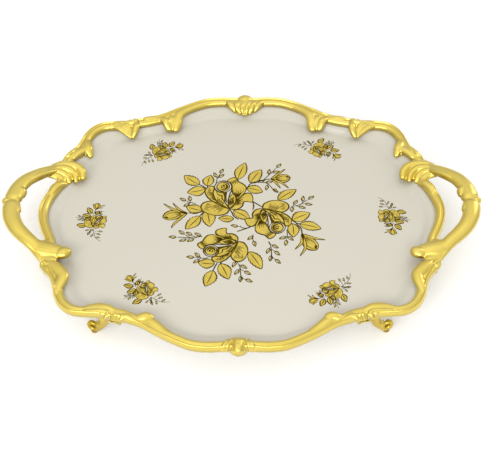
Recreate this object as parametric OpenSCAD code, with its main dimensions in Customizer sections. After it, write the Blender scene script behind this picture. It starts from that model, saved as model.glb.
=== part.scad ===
// Footed serving tray: a glazed dish held in a cast frame with two loop handles.
// The frame is eight castings joined under its ornament knots, standing on four
// scroll feet. Millimetres, X along the tray, Z up, foot pads on z = 0.

/* [Frame] */
// Height of the middle of the rim moulding above the table
rail_z = 40; // [34:0.5:60]
// Half width of the rim moulding
rail_a = 5.2; // [4.6:0.1:7]
// Rise of the rim moulding above its middle
rail_b = 3.8; // [3:0.1:6]
// Drop of the outer skirt below the middle of the moulding
skirt_drop = 5.4; // [4:0.1:7]
// Gap left between two castings at a knot
joint_gap = 0.3; // [0.2:0.1:1]

/* [Dish] */
// Thickness of the dish flange
flange_t = 2.8; // [2.4:0.1:5]
// Depth of the well below the flange
well_depth = 6.2; // [3:0.1:14]
// Thickness of the well
well_t = 4; // [3:0.1:6]
// Thickness of the seat strip between dish and frame
gasket_t = 0.8; // [0.5:0.1:1.5]

/* [Handles] */
// Distance from the tray centre to the middle of each grip
grip_x = 241.5; // [232:0.5:255]
// Rise of the grip above the rim
grip_rise = 12; // [4:0.5:24]
// Half width of the handle arms
arm_r = 6.4; // [5:0.1:8]

/* [Feet] */
// Outward reach of the toe from the foot root
toe_reach = 15.5; // [8:0.5:22]
// Thickness of each foot pad
pad_t = 1.5; // [1:0.1:3]
// Radius of each foot pad
pad_r = 3.6; // [3:0.1:6]
// Radius of the toe scroll
scroll_r = 5; // [4:0.1:7]

/* [Fasteners] */
// Radius of the screw shanks
shank_r = 1.1; // [0.8:0.1:1.2]
// Radius of the screw heads
head_r = 2.1; // [1.8:0.1:2.4]
// Height of the screw heads
head_h = 1.3; // [1:0.1:1.6]
// Thickness of the joint plates and foot flanges
plate_t = 1.8; // [1.4:0.1:2.4]

/* [Hidden] */
$fn = 48;
gold = [0.85, 0.74, 0.30];
foot_gold = [0.86, 0.66, 0.22];
porcelain = [0.88, 0.86, 0.80];
steel = [0.62, 0.63, 0.64];
rubber = [0.16, 0.16, 0.16];
seat_z = rail_z - 3;
flange_z = seat_z - gasket_t;
flange_foot = flange_z - flange_t;
plate_z = flange_foot - plate_t;
well_z = flange_z - well_depth;
edge_u = -0.6;
skirt_u = 0.8;
post_u = 2.4;
post_r = 2.6;
hole_r = shank_r + 0.1;
plate_hole_r = shank_r + 0.3;
plate_arm_r = 2.6;
hole_top = rail_z - 1;
shank_top = hole_top - 0.6;
flange_in = -5;
well_x = 186;
well_y = 150;
well_scale = 0.89;
handle_knot = 5;
corner_knot = 14;
steps = 2;
// Middle line of the rim, one quarter of the tray from the X axis round to the Y axis.
quarter = [
    [209, 0], [207, 14], [202, 28], [196, 42], [194, 57], [195, 72], [190, 82], [183, 92],
    [179, 104], [176, 114], [170, 124], [160, 131], [146, 133], [132, 134], [121, 137],
    [108, 140], [92, 146], [76, 156], [60, 165], [44, 172], [28, 174], [12, 173], [0, 172]
];
span = len(quarter) - 1;

function unit(v) = v / norm(v);
function wrap(i) = (i % (4 * span) + 4 * span) % (4 * span);
function knot_in(k) =
    k <= span ? quarter[k] :
    k <= 2 * span ? [-quarter[2 * span - k][0], quarter[2 * span - k][1]] :
    k <= 3 * span ? -quarter[k - 2 * span] :
    [quarter[4 * span - k][0], -quarter[4 * span - k][1]];
function knot(i) = knot_in(wrap(i));
function blend(a, b, c, d, t) =
    0.5 * (2 * b + (c - a) * t + (2 * a - 5 * b + 4 * c - d) * t * t
    + (3 * b - a - 3 * c + d) * t * t * t);
function rim(s) =
    let (i = floor(s))
    blend(knot(i - 1), knot(i), knot(i + 1), knot(i + 2), s - i);
function along(s) = unit(rim(s + 0.05) - rim(s - 0.05));
function outward(s) = [along(s)[1], -along(s)[0]];
function rim_at(s, u) = rim(s) + u * outward(s);
function lift(p, z) = [p[0], p[1], z];

function curve(p, n) = concat(
    [for (i = [0:len(p) - 2]) for (k = [0:n - 1])
        blend(p[max(i - 1, 0)], p[i], p[i + 1], p[min(i + 2, len(p) - 1)], k / n)],
    [p[len(p) - 1]]);
function heading(p, i) = unit(p[min(i + 1, len(p) - 1)] - p[max(i - 1, 0)]);
function ring(p, i, r, flat, ref, n) =
    let (t = heading(p, i), s = unit(cross(t, ref)), u = cross(s, t))
    [for (k = [0:n - 1]) p[i] + r * (cos(360 * k / n) * s + flat * sin(360 * k / n) * u)];
function seg(i, k, n) = i * n + k % n;

// Solid skin over rings that run clockwise seen along the path.
module skin(rings) {
    n = len(rings[0]);
    m = len(rings);
    polyhedron(
        points = [for (r = rings) for (q = r) q],
        faces = concat(
            [[for (k = [n - 1:-1:0]) k]],
            [for (i = [0:m - 2]) for (k = [0:n - 1])
                [seg(i, k, n), seg(i, k + 1, n), seg(i + 1, k + 1, n)]],
            [for (i = [0:m - 2]) for (k = [0:n - 1])
                [seg(i, k, n), seg(i + 1, k + 1, n), seg(i + 1, k, n)]],
            [[for (k = [0:n - 1]) (m - 1) * n + k]]),
        convexity = 10);
}

// Rounded limb through control points, radii blended the same way.
module limb(points, radii, flat = 1, ref = [0, 0, 1], cuts = 2, sides = 8) {
    p = curve(points, cuts);
    r = curve([for (q = radii) [q, 0]], cuts);
    skin([for (i = [0:len(p) - 1]) ring(p, i, r[i][0], flat, ref, sides)]);
}

// Section of the moulding: u outward from the middle line, w up from it.
rail_section = concat(
    [[-4.2, seat_z - rail_z], [skirt_u, seat_z - rail_z], [skirt_u, -skirt_drop],
     [skirt_u + 3, -skirt_drop], [rail_a - 0.4, -2.4]],
    [for (a = [0:22.5:180]) [rail_a * cos(a), rail_b * sin(a)]],
    [[-rail_a + 0.3, -1.7]]);
// Beads and a scroll shoulder at each end of a moulding: [distance from the end, swelling].
ends = [[0, 0.86], [0.09, 1.1], [0.18, 0.92], [0.27, 1.12], [0.36, 0.94], [0.48, 1.2],
    [0.62, 1.22], [0.8, 1.08], [1, 1]];
function stations(a, b) = concat(
    [for (e = ends) [a + e[0], e[1]]],
    [for (i = [1:(b - a - 2) * steps - 1]) [a + 1 + i / steps, 1]],
    [for (i = [len(ends) - 1:-1:0]) [b - ends[i][0], ends[i][1]]]);
function rail_ring(s, f) = [for (q = rail_section)
    let (g = q[1] > -2 ? f : 1) lift(rim_at(s, q[0] * g), rail_z + q[1] * g)];

// Moulding between two places on the rim, cut back half a gap at each end.
module moulding(a, b) {
    cut = joint_gap / 2 / norm(rim(a + 0.5) - rim(a - 0.5));
    skin([for (e = stations(a, b)) rail_ring(min(max(e[0], a + cut), b - cut), e[1])]);
}

module above_seat() {
    intersection() {
        children();
        translate([-300, -240, seat_z]) cube([600, 480, 60]);
    }
}

module post(s) {
    translate(lift(rim_at(s, post_u), flange_foot)) cylinder(r = post_r, h = rail_z - flange_foot);
}

module post_hole(s) {
    translate(lift(rim_at(s, post_u), flange_foot - 1))
        cylinder(r = hole_r, h = hole_top - flange_foot + 1);
}

// Curled drop that leaves the moulding and falls over the slope of the dish.
module drop(a, b, c, d, r) {
    limb([lift(a, rail_z + 0.8), lift(b, rail_z + 1.4), lift(c, rail_z - 0.4),
        lift(d, seat_z - 2)], [r * 0.7, r, r * 0.94, r * 0.4], 0.6);
}

// Long moulding, back side: palmette in the middle, a drop each side of it.
module long_rail() {
    difference() {
        union() {
            moulding(corner_knot, 2 * span - corner_knot);
            for (m = [0, 1]) mirror([m, 0, 0]) {
                drop([98, 144], [90, 142], [83, 137], [78, 129], 6);
                drop([100, 142], [95, 141], [89, 137], [85, 131], 4);
            }
            above_seat() {
                for (m = [0, 1]) mirror([m, 0, 0]) {
                    limb([[8, 178, rail_z + 1], [9, 170, rail_z + 1.8],
                        [7, 158, seat_z + 1.6]], [3.4, 4, 1.7], 0.8);
                    limb([[15, 176, rail_z], [17, 170, rail_z + 0.9],
                        [14, 161, seat_z + 1.4]], [3, 3.8, 1.5], 0.8);
                }
                limb([[0, 182, rail_z + 0.5], [0, 176, rail_z + 2.2], [0, 168, rail_z + 2],
                    [0, 155, seat_z + 1.6]], [4.4, 7, 4.8, 1.8], 0.8);
            }
            translate([0, 176.6, rail_z - 2]) cylinder(r1 = 7, r2 = 8.6, h = 3);
            for (s = clip_places) post(s);
        }
        for (s = clip_places) post_hole(s);
        post_hole(corner_knot + 0.5);
        post_hole(2 * span - corner_knot - 0.5);
    }
    for (s = [corner_knot + 0.5, 2 * span - corner_knot - 0.5]) lug(s);
}

// Drilled lug under the end of a casting, where a foot or a plate is screwed on.
module lug(s) {
    difference() {
        post(s);
        post_hole(s);
    }
}
clip_places = [span - 0.5, span + 0.5];

// Corner moulding of the back right corner.
module corner_rail() {
    difference() {
        union() {
            moulding(handle_knot, corner_knot);
            drop([147, 134], [139, 132], [132, 128], [128, 120], 5.2);
            drop([152, 132], [146, 130], [140, 126], [134, 121], 4);
            drop([178, 106], [178, 98], [173, 91], [168, 85], 5.2);
            drop([180, 102], [182, 95], [179, 89], [175, 84], 4);
            post(handle_knot + 0.5);
            post(corner_knot - 0.5);
        }
        post_hole(handle_knot + 0.5);
        post_hole(corner_knot - 0.5);
    }
}

// Right handle: inner moulding, raised loop, middle knot and curled leaves at both roots.
module handle() {
    top = rail_z + grip_rise;
    difference() {
        union() {
            moulding(-handle_knot, handle_knot);
            above_seat() {
                limb([[196, 64, rail_z + 1], [205, 57, rail_z + 4], [213, 51, rail_z + 7],
                    [222, 44, top - 3], [231, 35, top - 1], [grip_x - 3.5, 22, top],
                    [grip_x, 10, top], [grip_x, 0, top], [grip_x, -10, top],
                    [grip_x - 3.5, -22, top], [231, -35, top - 1], [222, -44, top - 3],
                    [213, -51, rail_z + 7], [205, -57, rail_z + 4], [196, -64, rail_z + 1]],
                    [6, 6.4, arm_r, arm_r, arm_r + 0.3, 7, 7.8, 7.4, 7.8, 7, arm_r + 0.3,
                    arm_r, arm_r, 6.4, 6], 0.82, [0, 0, 1], 2, 12);
                for (m = [0, 1]) mirror([0, m, 0]) {
                    limb([[202, 62, rail_z + 2], [194, 68, rail_z + 2], [183, 66, rail_z + 2],
                        [175, 60, rail_z], [171, 53, seat_z + 1.4]], [5, 5.6, 5, 3.8, 1.6], 0.8);
                    limb([[201, 55, rail_z + 3], [193, 57, rail_z + 2.5],
                        [185, 53, rail_z + 0.6], [180, 45, seat_z + 1.4]], [4.6, 4.8, 3.8, 1.5], 0.8);
                    limb([[200, 47, rail_z + 2], [195, 47, rail_z + 2],
                        [190, 39, seat_z + 1.8]], [3.4, 3.8, 1.6], 0.8);
                }
                translate([grip_x + 4.2, 0, top + 2]) sphere(r = 4.6);
                for (m = [-1, 1]) translate([grip_x - 10.5, 13.6 * m, top]) sphere(r = 5);
            }
            for (s = [-handle_knot + 0.5, handle_knot - 0.5]) post(s);
        }
        for (s = [-handle_knot + 0.5, handle_knot - 0.5]) post_hole(s);
    }
}

// Outline of a bar with round ends between two plan points.
module bar(p, q, r) {
    d = q - p;
    translate(p) circle(r = r);
    translate(q) circle(r = r);
    translate(p) rotate([0, 0, atan2(d[1], d[0])])
        translate([0, 0.1 - r]) square([norm(d), 2 * r - 0.2]);
}

// Plate that bridges a knot: two screw places and a tongue under the dish flange.
module bridge(knot_s) {
    translate([0, 0, plate_z]) linear_extrude(plate_t) difference() {
        union() {
            bar(rim_at(knot_s - 0.5, post_u), rim_at(knot_s + 0.5, post_u), plate_arm_r);
            bar(rim_at(knot_s, 0.6), rim_at(knot_s, -4.5), 4);
        }
        for (d = [-0.5, 0.5]) translate(rim_at(knot_s + d, post_u)) circle(r = plate_hole_r);
    }
}

// Clip behind the palmette.
module clip() {
    translate([0, 0, plate_z]) linear_extrude(plate_t) difference() {
        union() {
            bar(rim_at(clip_places[0], post_u), rim_at(clip_places[1], post_u), plate_arm_r);
            bar([0, rim(span)[1] - 0.6], [0, rim(span)[1] - 7], 5);
        }
        for (s = clip_places) translate(rim_at(s, post_u)) circle(r = plate_hole_r);
    }
}

// Foot of the back right corner: bridge flange, leg and outward curled toe.
foot_root = [130, 132];
foot_dir = unit([14, -5]);
toe_r = 2.5;
function foot_at(r, z) = [foot_root[0] + r * foot_dir[0], foot_root[1] + r * foot_dir[1], z];
scroll_z = pad_t + toe_r + scroll_r;
function scroll_at(a, k) = foot_at(toe_reach + k * scroll_r * cos(a), scroll_z + k * scroll_r * sin(a));
module foot() {
    head = rim_at(corner_knot - 0.5, post_u);
    top = plate_z + plate_t / 2;
    difference() {
        union() {
            bridge(corner_knot);
            translate([0, 0, plate_z]) linear_extrude(plate_t) difference() {
                bar(rim_at(corner_knot - 0.1, -1), foot_root, 4.6);
                translate(head) circle(r = plate_hole_r);
            }
            intersection() {
                limb([foot_at(0, top), foot_at(1, plate_z - 7), foot_at(toe_reach * 0.25, 16),
                    scroll_at(150, 1.5), scroll_at(195, 1.1), scroll_at(240, 1), scroll_at(285, 1),
                    scroll_at(330, 1), scroll_at(375, 0.95), scroll_at(420, 0.9),
                    scroll_at(470, 0.8), scroll_at(530, 0.6)],
                    [6.6, 5.4, 4.4, 3.8, 3, toe_r, toe_r, toe_r, 2.4, 2.2, 1.9, 1.4], 0.9,
                    [foot_dir[1], -foot_dir[0], 0], 2, 10);
                translate([90, 90, 0]) cube([90, 90, top]);
            }
            translate(foot_at(toe_reach, pad_t)) cylinder(r1 = pad_r, r2 = 2.4, h = 2.4);
        }
        translate(lift(head, plate_z - 2 * head_h)) cylinder(r = head_r + 0.4, h = 2 * head_h);
    }
}

// Pan head screw pushed up through a plate into a casting.
module screw(s) {
    translate(lift(rim_at(s, post_u), plate_z)) {
        cylinder(r = shank_r, h = shank_top - plate_z);
        difference() {
            translate([0, 0, -head_h]) cylinder(r = head_r, h = head_h);
            translate([-head_r, -0.4, -head_h - 1]) cube([2 * head_r, 0.8, 1.8]);
        }
    }
}

module each_corner() {
    for (m = [0, 1]) for (n = [0, 1]) mirror([m, 0, 0]) mirror([0, n, 0]) children();
}

// Rings of the dish run from the well out to the edge, then back underneath.
rim_steps = 4 * span * steps;
function well_at(s) =
    let (q = rim(s), a = atan2(q[1] / well_y, q[0] / well_x), e = 0.86,
        oval = [well_x * sign(cos(a)) * pow(abs(cos(a)), e),
            well_y * sign(sin(a)) * pow(abs(sin(a)), e)])
    (oval + well_scale * q) / 2;
function slope(f) = 0.5 + 0.5 * cos(180 * f);
function dish_ring(f, z) = [for (i = [0:rim_steps - 1])
    let (s = i / steps, a = rim_at(s, flange_in), b = well_at(s)) lift(a + (b - a) * f, z)];
function edge_ring(u, z) = [for (i = [0:rim_steps - 1]) lift(rim_at(i / steps, u), z)];
module dish() {
    falls = [1, 0.62, 0.3];
    color(porcelain) skin(concat(
        [for (f = falls) dish_ring(f, well_z + well_depth * slope(f))],
        [edge_ring(flange_in, flange_z), edge_ring(edge_u, flange_z),
         edge_ring(edge_u, flange_foot), edge_ring(flange_in - 0.2, flange_foot)],
        [for (f = [0.5, 1])
            dish_ring(f, well_z - well_t + (well_depth + well_t - flange_t) * slope(f))]));
}

// Seat strip, a closed band.
module gasket() {
    n = rim_steps;
    band = [for (c = [[-4, 0], [-1.2, 0], [-1.2, 1], [-4, 1]])
        for (q = edge_ring(c[0], flange_z + c[1] * gasket_t)) q];
    color(rubber) polyhedron(points = band,
        faces = concat(
            [for (j = [0:3]) for (k = [0:n - 1])
                [seg(j, k, n), seg((j + 1) % 4, k + 1, n), seg(j, k + 1, n)]],
            [for (j = [0:3]) for (k = [0:n - 1])
                [seg(j, k, n), seg((j + 1) % 4, k, n), seg((j + 1) % 4, k + 1, n)]]),
        convexity = 10);
}

module rail_back() { color(gold) long_rail(); }
module rail_front() { color(gold) mirror([0, 1, 0]) long_rail(); }
module corner_back_right() { color(gold) corner_rail(); }
module corner_back_left() { color(gold) mirror([1, 0, 0]) corner_rail(); }
module corner_front_right() { color(gold) mirror([0, 1, 0]) corner_rail(); }
module corner_front_left() { color(gold) rotate([0, 0, 180]) corner_rail(); }
module handle_right() { color(gold) handle(); }
module handle_left() { color(gold) mirror([1, 0, 0]) handle(); }
module foot_back_right() { color(foot_gold) foot(); }
module foot_back_left() { color(foot_gold) mirror([1, 0, 0]) foot(); }
module foot_front_right() { color(foot_gold) mirror([0, 1, 0]) foot(); }
module foot_front_left() { color(foot_gold) rotate([0, 0, 180]) foot(); }
module joint_plate_back_right() { color(steel) bridge(handle_knot); }
module joint_plate_back_left() { color(steel) mirror([1, 0, 0]) bridge(handle_knot); }
module joint_plate_front_right() { color(steel) mirror([0, 1, 0]) bridge(handle_knot); }
module joint_plate_front_left() { color(steel) rotate([0, 0, 180]) bridge(handle_knot); }
module clip_back() { color(steel) clip(); }
module clip_front() { color(steel) mirror([0, 1, 0]) clip(); }
module foot_screws() {
    color(steel) each_corner() for (d = [-0.5, 0.5]) screw(corner_knot + d);
}
module plate_screws() {
    color(steel) each_corner() for (d = [-0.5, 0.5]) screw(handle_knot + d);
}
module clip_screws() {
    color(steel) for (n = [0, 1]) mirror([0, n, 0]) for (s = clip_places) screw(s);
}
module foot_pads() {
    color(rubber) each_corner() translate(foot_at(toe_reach, 0)) cylinder(r = pad_r, h = pad_t);
}

dish();
gasket();
rail_back();
rail_front();
corner_back_left();
corner_back_right();
corner_front_left();
corner_front_right();
handle_left();
handle_right();
foot_back_left();
foot_back_right();
foot_front_left();
foot_front_right();
joint_plate_back_left();
joint_plate_back_right();
joint_plate_front_left();
joint_plate_front_right();
clip_back();
clip_front();
foot_screws();
plate_screws();
clip_screws();
foot_pads();
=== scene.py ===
"""Footed serving tray: glazed dish with gilt prints in a cast, gilt rococo frame."""

import math

import bmesh
import bpy
import numpy as np
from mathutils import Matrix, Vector


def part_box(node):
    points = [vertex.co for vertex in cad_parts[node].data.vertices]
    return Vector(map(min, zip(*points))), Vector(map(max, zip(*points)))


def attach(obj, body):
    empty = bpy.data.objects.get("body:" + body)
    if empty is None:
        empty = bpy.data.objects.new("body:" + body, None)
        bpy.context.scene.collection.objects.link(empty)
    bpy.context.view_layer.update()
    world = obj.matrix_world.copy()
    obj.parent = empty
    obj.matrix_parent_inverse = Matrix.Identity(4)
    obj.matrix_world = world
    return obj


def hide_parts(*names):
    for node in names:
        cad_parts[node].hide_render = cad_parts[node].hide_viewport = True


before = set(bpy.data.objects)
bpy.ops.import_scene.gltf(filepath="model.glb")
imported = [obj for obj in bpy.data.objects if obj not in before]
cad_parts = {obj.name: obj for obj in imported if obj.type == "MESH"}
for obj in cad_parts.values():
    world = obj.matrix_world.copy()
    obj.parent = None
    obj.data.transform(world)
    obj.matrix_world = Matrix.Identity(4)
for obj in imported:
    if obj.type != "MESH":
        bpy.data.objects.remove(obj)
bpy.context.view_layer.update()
SCENE = bpy.context.scene
MM = 0.001

# Heights in millimetres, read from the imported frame.
SEAT_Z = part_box("gasket")[1].z / MM
FLANGE_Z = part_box("dish")[1].z / MM
DISH_UNDER_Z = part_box("dish")[0].z / MM
PLATE_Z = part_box("clip_back")[0].z / MM
PLATE_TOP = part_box("clip_back")[1].z / MM
PAD_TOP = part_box("foot_pads")[1].z / MM
SEAT_DROP = 3
RAIL_Z = SEAT_Z + SEAT_DROP
DISH_WALL = 4
WELL_Z = DISH_UNDER_Z + DISH_WALL
GRIP_RISE = 12
GRIP_Z = RAIL_Z + GRIP_RISE

# Middle line of the rim in millimetres, one quarter from the X axis round to the Y axis.
QUARTER = np.array([
    (209, 0), (207, 14), (202, 28), (196, 42), (194, 57), (195, 72), (190, 82), (183, 92),
    (179, 104), (176, 114), (170, 124), (160, 131), (146, 133), (132, 134), (121, 137),
    (108, 140), (92, 146), (76, 156), (60, 165), (44, 172), (28, 174), (12, 173), (0, 172),
], float)
SPAN = len(QUARTER) - 1
# Knots where one casting ends and the next begins, and how far their posts stand from them.
HANDLE_KNOT = 5
CORNER_KNOT = 14
POST_STEP = 0.5
POST_R = 2.6


# ------------ curves and shells

def rim_knots():
    """All knots of the closed middle line."""
    left = QUARTER[-2::-1] * (-1, 1)
    top = np.vstack([QUARTER, left])
    return np.vstack([top, -top[1:-1]])


KNOTS = rim_knots()


def catmull(a, b, c, d, t):
    """Point between b and c on the smooth curve through all four."""
    return 0.5 * (2 * b + (c - a) * t + (2 * a - 5 * b + 4 * c - d) * t ** 2
                  + (3 * b - a - 3 * c + d) * t ** 3)


def rim(s):
    """Point on the middle line; s counts knots from the X axis."""
    i = math.floor(s)
    n = len(KNOTS)
    return catmull(*(KNOTS[(i + k) % n] for k in (-1, 0, 1, 2)), s - i)


def rim_at(s, u):
    """Plan point at distance u outside the middle line."""
    t = rim(s + 0.05) - rim(s - 0.05)
    t = t / np.linalg.norm(t)
    return rim(s) + u * np.array((t[1], -t[0]))


def spline(points, cuts):
    """Smooth curve through rows of numbers, cuts samples between two of them."""
    p = np.array(points, float)
    if p.ndim == 1:
        p = p[:, None]
    last = len(p) - 1
    rows = [catmull(p[max(i - 1, 0)], p[i], p[i + 1], p[min(i + 2, last)], k / cuts)
            for i in range(last) for k in range(cuts)]
    return np.array(rows + [p[last]])


def closed_spline(points, cuts):
    """Smooth closed curve through plan points."""
    p = np.array(points, float)
    n = len(p)
    return np.array([catmull(p[i - 1], p[i], p[(i + 1) % n], p[(i + 2) % n], k / cuts)
                     for i in range(n) for k in range(cuts)])


def skin(rings):
    """Closed shell over a list of rings with equal counts: (points, faces)."""
    n = len(rings[0])
    faces = [tuple(range(n))[::-1]]
    for i in range(len(rings) - 1):
        a, b = i * n, (i + 1) * n
        faces += [(a + k, a + (k + 1) % n, b + (k + 1) % n, b + k) for k in range(n)]
    faces.append(tuple(range((len(rings) - 1) * n, len(rings) * n)))
    return np.vstack(rings), faces


LEAST_R = 0.3
CAP_ANGLES = [math.radians(a) for a in (84, 66, 44, 22)]


def limb(points, radii, flat=1.0, up=(0, 0, 1), cuts=6, sides=16):
    """Rounded limb through points in millimetres, with round ends."""
    p = spline(points, cuts)
    r = np.maximum(spline(radii, cuts)[:, 0], LEAST_R)
    t = np.gradient(p, axis=0)
    t /= np.linalg.norm(t, axis=1)[:, None]
    stations = [(p[0] - t[0] * r[0] * math.sin(a), t[0], r[0] * math.cos(a))
                for a in CAP_ANGLES]
    stations += list(zip(p, t, r))
    stations += [(p[-1] + t[-1] * r[-1] * math.sin(a), t[-1], r[-1] * math.cos(a))
                 for a in CAP_ANGLES[::-1]]
    turn = 2 * math.pi * np.arange(sides) / sides
    rings = []
    for centre, ahead, radius in stations:
        side = np.cross(ahead, up)
        side /= np.linalg.norm(side)
        over = np.cross(side, ahead)
        rings.append(centre + radius * (np.cos(turn)[:, None] * side
                                        + flat * np.sin(turn)[:, None] * over))
    return skin(rings)


def raised(points):
    """Points whose third number is a height above the middle of the moulding."""
    return [(x, y, RAIL_Z + z) for x, y, z in points]


def mirrored(shell, x=1, y=1):
    """The shell with x or y times -1."""
    points, faces = shell
    return points * (x, y, 1), faces


def both_x(shell):
    return [shell, mirrored(shell, x=-1)]


def both_y(shell):
    return [shell, mirrored(shell, y=-1)]


def at_height(plan, z):
    """Plan points with one height."""
    return np.column_stack([plan, np.full(len(plan), z)])


def prism(outline, low, high):
    """Upright shell over a closed plan outline."""
    return skin([at_height(outline, z) for z in (low, high)])


END_STEPS = 12


def capsule(p, q, r):
    """Plan outline of a bar with round ends."""
    p, q = np.array(p, float), np.array(q, float)
    lean = math.atan2(*(q - p)[::-1])
    out = []
    for centre, start in ((q, lean - math.pi / 2), (p, lean + math.pi / 2)):
        for k in range(END_STEPS + 1):
            a = start + math.pi * k / END_STEPS
            out.append(centre + r * np.array((math.cos(a), math.sin(a))))
    return out


def joint_post(s):
    """Post beside a joint, which stands on the plate below it."""
    return prism(capsule(rim_at(s, 2.4), rim_at(s, 2.0), POST_R), PLATE_TOP, RAIL_Z)


# Section of the moulding, from the inner foot over the crest to the outer skirt.
CREST = [(-5.1, -3.7), (-5.4, -1.6), (-4.7, 0.6), (-3.1, 2.2), (-1.2, 2.9), (0.4, 2.5), (1.5, 1.7),
         (2.4, 2.4), (3.2, 3.6), (4.1, 3.0), (4.8, 1.3), (5.4, -0.8), (5.2, -2.9), (4.2, -5.4)]
UNDER = [(0.9, -5.4), (0.9, -SEAT_DROP), (-4.0, -SEAT_DROP)]
SECTION = np.vstack([spline(CREST, 3), UNDER])
END_CUT = 0.006
RINGS_PER_KNOT = 9


def moulding(a, b):
    """Rim moulding between two knots of the middle line."""
    places = np.linspace(a + END_CUT, b - END_CUT, (b - a) * RINGS_PER_KNOT)
    return skin([np.array([(*rim_at(s, u), RAIL_Z + w) for u, w in SECTION]) for s in places])


# ------------ meshes

def mesh_object(name, points, faces, material):
    """New object from points in millimetres."""
    mesh = bpy.data.meshes.new(name)
    mesh.from_pydata([tuple(p) for p in np.asarray(points) * MM], [], faces)
    mesh.validate()
    obj = bpy.data.objects.new(name, mesh)
    SCENE.collection.objects.link(obj)
    mesh.materials.append(material)
    return obj


def recalculated(obj):
    """Turns the faces of closed shells outwards."""
    bm = bmesh.new()
    bm.from_mesh(obj.data)
    bmesh.ops.recalc_face_normals(bm, faces=bm.faces)
    bm.to_mesh(obj.data)
    bm.free()


def smooth_shaded(obj):
    obj.data.polygons.foreach_set("use_smooth", [True] * len(obj.data.polygons))


def cast(name, shells, material, voxel=0.5, passes=5):
    """One casting: shells in millimetres fused into a single smooth skin."""
    points, faces, first = [], [], 0
    for p, f in shells:
        points.append(p)
        faces += [tuple(first + i for i in face) for face in f]
        first += len(p)
    obj = mesh_object(name, np.vstack(points), faces, material)
    recalculated(obj)
    fuse = obj.modifiers.new("fuse", "REMESH")
    fuse.mode = "VOXEL"
    fuse.voxel_size = voxel * MM
    fuse.use_smooth_shade = True
    soften = obj.modifiers.new("soften", "SMOOTH")
    soften.factor = 0.5
    soften.iterations = passes
    evaluated = obj.evaluated_get(bpy.context.evaluated_depsgraph_get())
    fused = bpy.data.meshes.new_from_object(evaluated)
    obj.modifiers.clear()
    obj.data = fused
    if not fused.materials:
        fused.materials.append(material)
    smooth_shaded(obj)
    return obj


def mirror_copy(obj, name, x=1, y=1):
    """Copy of a finished piece with x or y times -1."""
    mesh = obj.data.copy()
    co = np.zeros(len(mesh.vertices) * 3, np.float32)
    mesh.vertices.foreach_get("co", co)
    co = co.reshape(-1, 3) * (x, y, 1)
    mesh.vertices.foreach_set("co", co.astype(np.float32).ravel())
    if x * y < 0:
        mesh.flip_normals()
    mesh.update()
    twin = bpy.data.objects.new(name, mesh)
    SCENE.collection.objects.link(twin)
    return twin


def seated(obj, slot, *nodes):
    """The piece rides the root body and hides the CAD nodes it stands for; slot is not used."""
    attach(obj, "root")
    if nodes:
        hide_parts(*nodes)
    return obj


# ------------ materials

def set_stops(node, stops):
    """Stops of a colour ramp: (place, colour)."""
    ends = node.color_ramp.elements
    while len(ends) < len(stops):
        ends.new(0.5)
    for end, (at, colour) in zip(ends, stops):
        end.position = at
        end.color = (*colour, 1)


class Nodes:
    """Small helper that wires one procedural material."""

    def __init__(self, name):
        self.material = bpy.data.materials.new(name)
        self.material.use_nodes = True
        self.tree = self.material.node_tree
        self.shader = self.tree.nodes["Principled BSDF"]
        self.place = self.new("ShaderNodeTexCoord").outputs["Object"]

    def new(self, kind):
        return self.tree.nodes.new(kind)

    def link(self, a, b):
        self.tree.links.new(a, b)

    def noise(self, scale, detail):
        n = self.new("ShaderNodeTexNoise")
        n.inputs["Scale"].default_value = scale
        n.inputs["Detail"].default_value = detail
        self.link(self.place, n.inputs["Vector"])
        return n.outputs["Fac"]

    def ramp(self, factor, stops):
        r = self.new("ShaderNodeValToRGB")
        set_stops(r, stops)
        self.link(factor, r.inputs["Fac"])
        return r.outputs["Color"]

    def span(self, factor, low, high, to_low, to_high):
        m = self.new("ShaderNodeMapRange")
        for key, value in (("From Min", low), ("From Max", high),
                           ("To Min", to_low), ("To Max", to_high)):
            m.inputs[key].default_value = value
        self.link(factor, m.inputs["Value"])
        return m.outputs["Result"]

    def mix(self, factor, a, b):
        m = self.new("ShaderNodeMix")
        m.data_type = "RGBA"
        self.link(factor, m.inputs["Factor"])
        for socket, value in ((m.inputs[6], a), (m.inputs[7], b)):
            if isinstance(value, tuple):
                socket.default_value = (*value, 1)
            else:
                self.link(value, socket)
        return m.outputs[2]

    def pointiness(self):
        """0.5 on flat ground, less in creases and more on edges."""
        return self.new("ShaderNodeNewGeometry").outputs["Pointiness"]

    def upward(self):
        """How far the surface faces up: 1 on top, 0 on an upright side, -1 underneath."""
        split = self.new("ShaderNodeSeparateXYZ")
        self.link(self.new("ShaderNodeTexCoord").outputs["Normal"], split.inputs[0])
        return split.outputs["Z"]

    def colour(self, socket):
        self.link(socket, self.shader.inputs["Base Color"])

    def rough(self, socket):
        self.link(socket, self.shader.inputs["Roughness"])

    def bump(self, height, distance_mm, strength):
        b = self.new("ShaderNodeBump")
        b.inputs["Strength"].default_value = strength
        b.inputs["Distance"].default_value = distance_mm * MM
        self.link(height, b.inputs["Height"])
        self.link(b.outputs["Normal"], self.shader.inputs["Normal"])

    def set(self, **values):
        for key, value in values.items():
            self.shader.inputs[key.replace("_", " ")].default_value = value


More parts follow.
